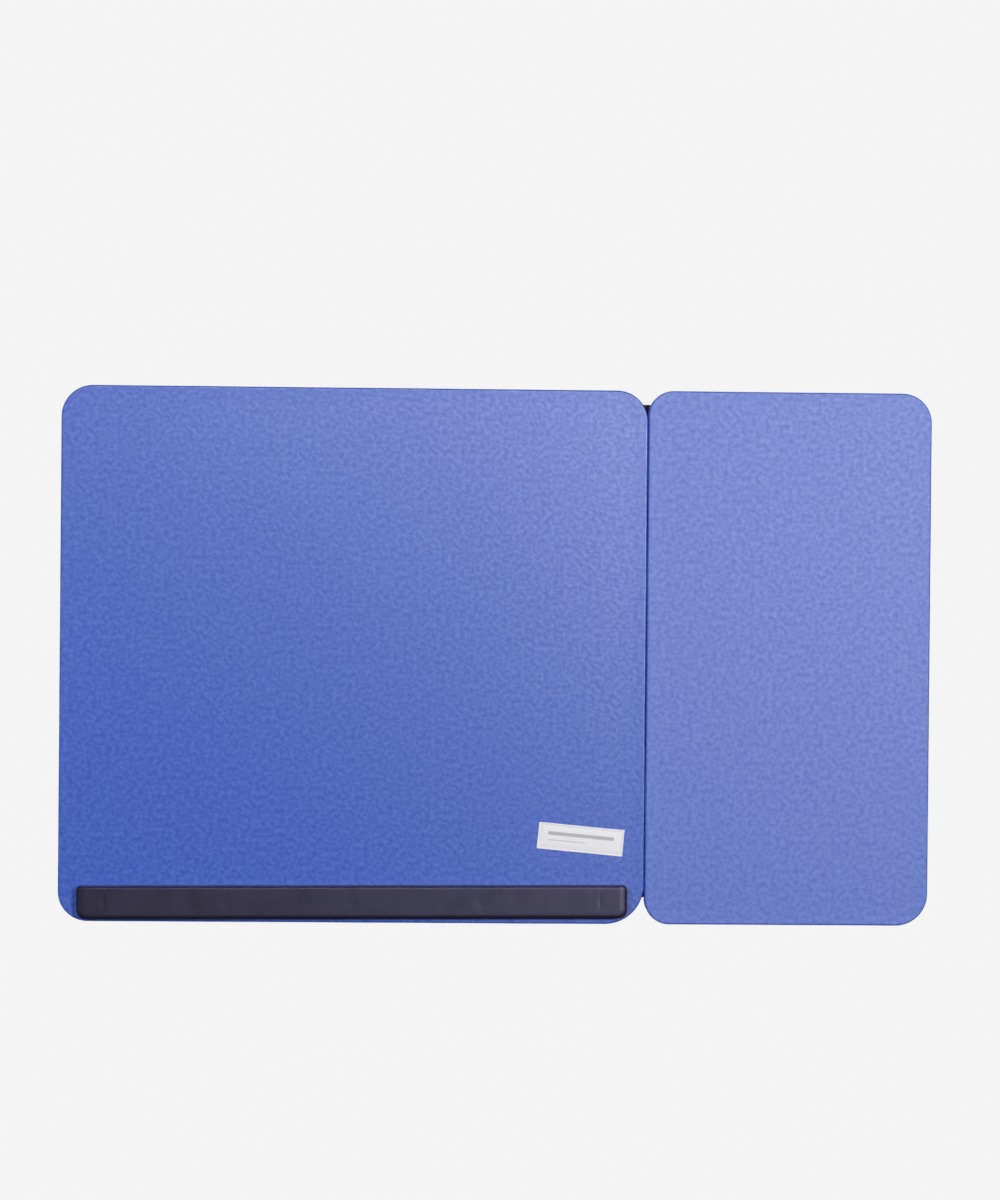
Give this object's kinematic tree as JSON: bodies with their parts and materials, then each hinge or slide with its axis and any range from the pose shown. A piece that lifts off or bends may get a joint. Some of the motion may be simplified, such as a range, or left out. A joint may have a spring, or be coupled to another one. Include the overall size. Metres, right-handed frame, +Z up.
{
  "type": "folding desk panel",
  "caption": "Flat fabric-covered desk panel with a fold-under side wing on a textile hinge, and a raised ledge bar that stops a laptop.",
  "frame": {"origin": "centre of the assembly's outline, on the surface that the panel lies on", "axes": "+X from the main board to the wing, +Y from the user's edge to the far edge, +Z up, out of the fabric face"},
  "size_m": [0.557, 0.342, 0.0191],
  "materials": {
    "melange_fabric": "blue melange polyester, fine weave, matt",
    "core_board": "raw fibreboard",
    "edge_foam": "thin soft foam sheet",
    "back_lining": "black non-woven lining",
    "hinge_web": "black woven tape",
    "steel_wire": "flat staple wire",
    "screw_steel": "zinc-plated screw",
    "moulded_plastic": "black moulded plastic, satin",
    "label_cloth": "white satin label cloth",
    "label_thread": "white sewing thread"
  },
  "bodies": {
    "main_panel": {"main_core_board": "core_board", "main_foam_pad": "edge_foam", "main_fabric_cover": "melange_fabric", "main_back_lining": "back_lining", "ledge_bar": "moulded_plastic", "ledge_screws": "screw_steel", "blank_label": "label_cloth", "label_stitches": "label_thread", "hinge_web_main_flap": "hinge_web", "hinge_staples_main": "steel_wire"},
    "wing_panel": {"wing_core_board": "core_board", "wing_foam_pad": "edge_foam", "wing_fabric_cover": "melange_fabric", "wing_back_lining": "back_lining", "hinge_web_wing_flap": "hinge_web", "hinge_staples_wing": "steel_wire"}
  },
  "joints": [
    {"name": "wing_fold", "type": "hinge", "parent": "main_panel", "child": "wing_panel", "pos_m": [0.0961, 0, -0.00015], "axis": [0, 1, 0], "range_deg": [-1, 180]}
  ]
}
